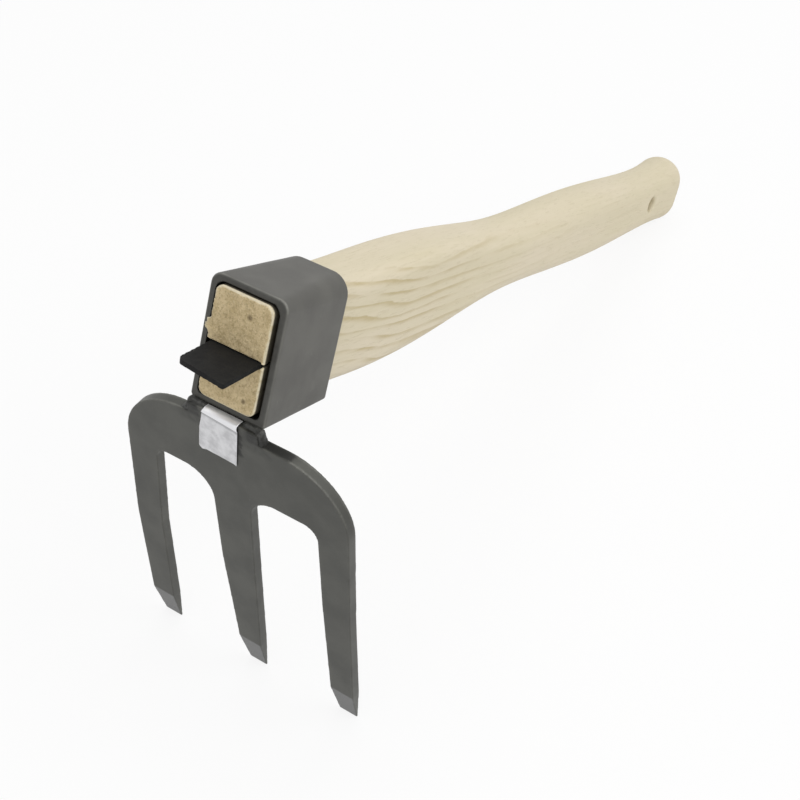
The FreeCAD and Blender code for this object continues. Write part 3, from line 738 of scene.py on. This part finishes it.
def fillet_outline(sign, inner, top, foot, floor, fill):
    """A corner beside the neck filled with a curve: fill 0 is hollow, 0.5 straight, 1 full."""
    curve = []
    for i in range(FILLET_STEPS + 1):
        t = i / FILLET_STEPS
        y = (1 - t) ** 2 * inner + 2 * t * (1 - t) * (inner + fill * (foot - inner)) + t ** 2 * foot
        z = (1 - t) ** 2 * top + 2 * t * (1 - t) * (floor + fill * (top - floor)) + t ** 2 * floor
        curve.append((sign * y, z))
    root = inner - 1.6 * MM
    return ([(sign * root, floor - 1.5 * MM), (sign * root, top)] + curve
            + [(sign * foot, floor - 1.5 * MM)])


def drop_row(start, end, radius, count):
    """Overlapping drops of metal in a row."""
    drops = bmesh.new()
    for i in range(count):
        place = Vector(start).lerp(Vector(end), i / (count - 1))
        bmesh.ops.create_icosphere(drops, subdivisions=3, radius=radius,
                                   matrix=Matrix.Translation(place))
    mesh = bpy.data.meshes.new("drops")
    drops.to_mesh(mesh)
    drops.free()
    return mesh


def make_welds(metal):
    """Beads in the corners between the eye and the plate, with fillets beside the neck."""
    for side, sign, top, foot, fill in FILLETS:
        low, high = node_span("weld_" + side)
        inner, outer = (low.y, high.y) if sign > 0 else (high.y, low.y)
        x, z = low.x + 1.6 * MM, low.z + 2.0 * MM
        bead = drop_row((x, inner, z), (x, outer - sign * 1.2 * MM, z), DROP_RADIUS, 9)
        outline = fillet_outline(sign, FILLET_INNER, top, foot, FILLET_FLOOR, fill)
        fillet = prism(outline, FILLET_INSET, STEEL - FILLET_INSET)
        put("weld_bead_" + side, melted(join("bead", [bead, fillet]), 14, 5.5 + sign),
            metal, "tool", "weld_steel", "weld_" + side)
    low, high = node_span("weld_rear")
    x, z = low.x + 0.4 * (high.x - low.x), low.z + 0.62 * (high.z - low.z)
    rear = drop_row((x, low.y + REAR_RADIUS, z), (x, high.y - REAR_RADIUS, z), REAR_RADIUS, 15)
    put("weld_bead_rear", melted(rear, 2, 1.7), metal, "tool", "weld_steel", "weld_rear")


# ---------------------------------------------------------------- label

FOIL = 0.2 * MM               # the foil's thickness
ROLLED_SHARE = 0.32           # the part of t that goes over the plate's top edge
LABEL_COLUMNS, LABEL_ROWS = 56, 96
# how far from the plate's middle the label's two edges are, at these drops from its top
LEFT_DROPS = [0, 2 * MM, 10 * MM, 20 * MM]
LEFT_EDGE = [7.5 * MM, 8.0 * MM, 10.1 * MM, 11.3 * MM]
RIGHT_DROPS = [0, 3.7 * MM, 21.5 * MM]
RIGHT_EDGE = [-7.0 * MM, -6.75 * MM, -4.6 * MM]
CORNER_ROUND = 1.5 * MM       # how far above the foot the left corner starts to round


def through(knots, t):
    """A smooth curve through evenly spaced knots, t from 0 to 1."""
    last = len(knots) - 1
    i = min(int(t * last), last - 1)
    f = t * last - i
    a, b, c, d = (Vector(knots[max(0, min(last, i + step))]) for step in (-1, 0, 1, 2))
    return 0.5 * (2 * b + f * (c - a) + f * f * (2 * a - 5 * b + 4 * c - d)
                  + f ** 3 * (3 * b - a - 3 * c + d))


def label_point(s, t):
    """A place on the foil: s from its left edge to its right, t from under the rim to its foot."""
    crease = (2.0 + 1.75 * s) * MM
    foot = (21.0 + 0.5 * s) * MM
    roll = [(2.9 * MM, 0.95 * MM), (1.0 * MM, 0.62 * MM), (-0.58 * MM, 0.95 * MM),
            (-0.86 * MM, 0.5 * crease + 0.65 * MM), (-0.46 * MM, crease)]
    if t < ROLLED_SHARE:
        depth, drop = through([(*knot, 0) for knot in roll], t / ROLLED_SHARE)[:2]
    else:
        f = (t - ROLLED_SHARE) / (1 - ROLLED_SHARE)
        drop = crease + (foot - crease) * f
        curl = smoothstep(0.12, 0.0, s) * f + 0.8 * smoothstep(0.90, 1.0, s) * (1 - 0.4 * f)
        sway = noise.noise(Vector((s * 2.2, f * 3.1, 4.2)))
        settled = smoothstep(0, 0.22, f)
        depth = -(0.46 - 0.28 * settled + (0.45 * curl + 0.10 * sway) * settled) * MM
    left = np.interp(drop, LEFT_DROPS, LEFT_EDGE)
    right = np.interp(drop, RIGHT_DROPS, RIGHT_EDGE)
    rounded = max(0.0, drop - foot + CORNER_ROUND)
    left -= 1.4 * MM * (rounded / CORNER_ROUND) ** 2
    return PLATE @ Vector((depth, left + (right - left) * s, -drop))


def make_label(foil):
    """A strip of foil rolled over the plate's top edge, creased there and clinging to its face."""
    wide = LABEL_COLUMNS + 1
    points = [label_point(i / LABEL_COLUMNS, j / LABEL_ROWS)
              for j in range(LABEL_ROWS + 1) for i in range(wide)]
    faces = [(j * wide + i, (j + 1) * wide + i, (j + 1) * wide + i + 1, j * wide + i + 1)
             for j in range(LABEL_ROWS) for i in range(LABEL_COLUMNS)]
    label = new_mesh("label", points, faces)
    sheet = bmesh.new()
    sheet.from_mesh(label)
    bmesh.ops.solidify(sheet, geom=sheet.faces[:], thickness=FOIL)
    bmesh.ops.recalc_face_normals(sheet, faces=sheet.faces[:])
    sheet.to_mesh(label)
    sheet.free()
    placed = on_plate(read_points(label))
    below = -placed[:, 2] - (2.0 * MM + 0.117 * (8 * MM - placed[:, 1]))
    # Masks for a painted highlight on the rolled band and painted shade in the crease below it
    store(label, "roll", smoothstep(0.2 * MM, -0.5 * MM, below))
    store(label, "crease", 0.8 * window(-0.2 * MM, 1.1 * MM, 0.6 * MM, below))
    put("foil_label", label, foil, "tool", "label_foil", "neck_label")


# ---------------------------------------------------------------- camera, light and floor

# In the tool's frame, so that the view stays with the tool however it rests.
CAMERA_PLACE = Vector((-0.35750, -0.22816, 0.18764))
CAMERA_TARGET = Vector((0.09601, -0.01527, -0.03931))
CAMERA_ROLL = math.radians(14.125)
CAMERA_LENS = 63.77
LAMP_TARGET = (-0.06, 0, 0.09)
ROOM_LIGHT = 0.54             # the strength of the light from all round
FLOOR_WHITE = 0.86            # the share of pure white in the floor where it is seen
FLOOR_REACH = 3.0


def looking(place, target, roll=0.0):
    turn = (Vector(target) - Vector(place)).to_track_quat("-Z", "Y").to_matrix().to_4x4()
    return Matrix.Translation(place) @ turn @ Matrix.Rotation(roll, 4, "Z")


def add_camera():
    data = bpy.data.cameras.new("camera")
    data.lens = CAMERA_LENS
    place = TOOL @ looking(CAMERA_PLACE, CAMERA_TARGET, CAMERA_ROLL)
    bpy.context.scene.camera = new_object("camera", data, place)


def add_lamp(name, place, size, power):
    data = bpy.data.lights.new(name, "AREA")
    data.shape = "SQUARE"
    data.size = size
    data.energy = power
    new_object(name, data, looking(place, LAMP_TARGET))


def show_white(tree, shader, share):
    """The shader's output, made white by this share where the camera or a reflection sees it."""
    path = tree.nodes.new("ShaderNodeLightPath")
    white = tree.nodes.new("ShaderNodeEmission")
    mixed = tree.nodes.new("ShaderNodeMixShader")
    seen = path.outputs["Is Camera Ray"]
    for other in ("Is Glossy Ray", "Is Transmission Ray"):
        either = tree.nodes.new("ShaderNodeMath")
        either.operation = "MAXIMUM"
        tree.links.new(seen, either.inputs[0])
        tree.links.new(path.outputs[other], either.inputs[1])
        seen = either.outputs[0]
    scaled = tree.nodes.new("ShaderNodeMath")
    scaled.operation = "MULTIPLY"
    scaled.inputs[1].default_value = share
    tree.links.new(seen, scaled.inputs[0])
    tree.links.new(scaled.outputs[0], mixed.inputs["Fac"])
    tree.links.new(shader, mixed.inputs[1])
    tree.links.new(white.outputs[0], mixed.inputs[2])
    return mixed.outputs[0]


def add_world():
    world = bpy.data.worlds.new("white_room")
    world.use_nodes = True
    tree = world.node_tree
    light = tree.nodes["Background"]
    light.inputs["Color"].default_value = (1, 1, 1, 1)
    light.inputs["Strength"].default_value = ROOM_LIGHT
    tree.links.new(show_white(tree, light.outputs[0], 1.0),
                   tree.nodes["World Output"].inputs["Surface"])
    bpy.context.scene.world = world


def add_floor():
    corners = [(x * FLOOR_REACH, y * FLOOR_REACH, 0)
               for x, y in ((-1, -1), (1, -1), (1, 1), (-1, 1))]
    mesh = new_mesh("floor", corners, [(0, 1, 2, 3)])
    material = bpy.data.materials.new("white_floor")
    material.use_nodes = True
    tree = material.node_tree
    shader = tree.nodes["Principled BSDF"]
    shader.inputs["Base Color"].default_value = (0.9, 0.9, 0.9, 1)
    shader.inputs["Roughness"].default_value = 0.9
    tree.links.new(show_white(tree, shader.outputs[0], FLOOR_WHITE),
                   tree.nodes["Material Output"].inputs["Surface"])
    mesh.materials.append(material)
    new_object("floor", mesh)


# ---------------------------------------------------------------- the whole

add_camera()
add_world()
add_floor()
add_lamp("key", (0.10, -0.95, 1.20), 1.0, 7.8)
add_lamp("fill", (-1.25, -0.35, 0.6), 1.2, 2.2)
add_lamp("top", (0.4, 0.3, 1.5), 1.2, 6.1)

make_handle(make_wood())
make_eye(make_eye_steel())
make_plate(make_plate_steel())
make_welds(make_weld_steel())
make_wedge(make_wedge_black())
make_label(make_foil())

bpy.context.scene.view_settings.view_transform = "Standard"
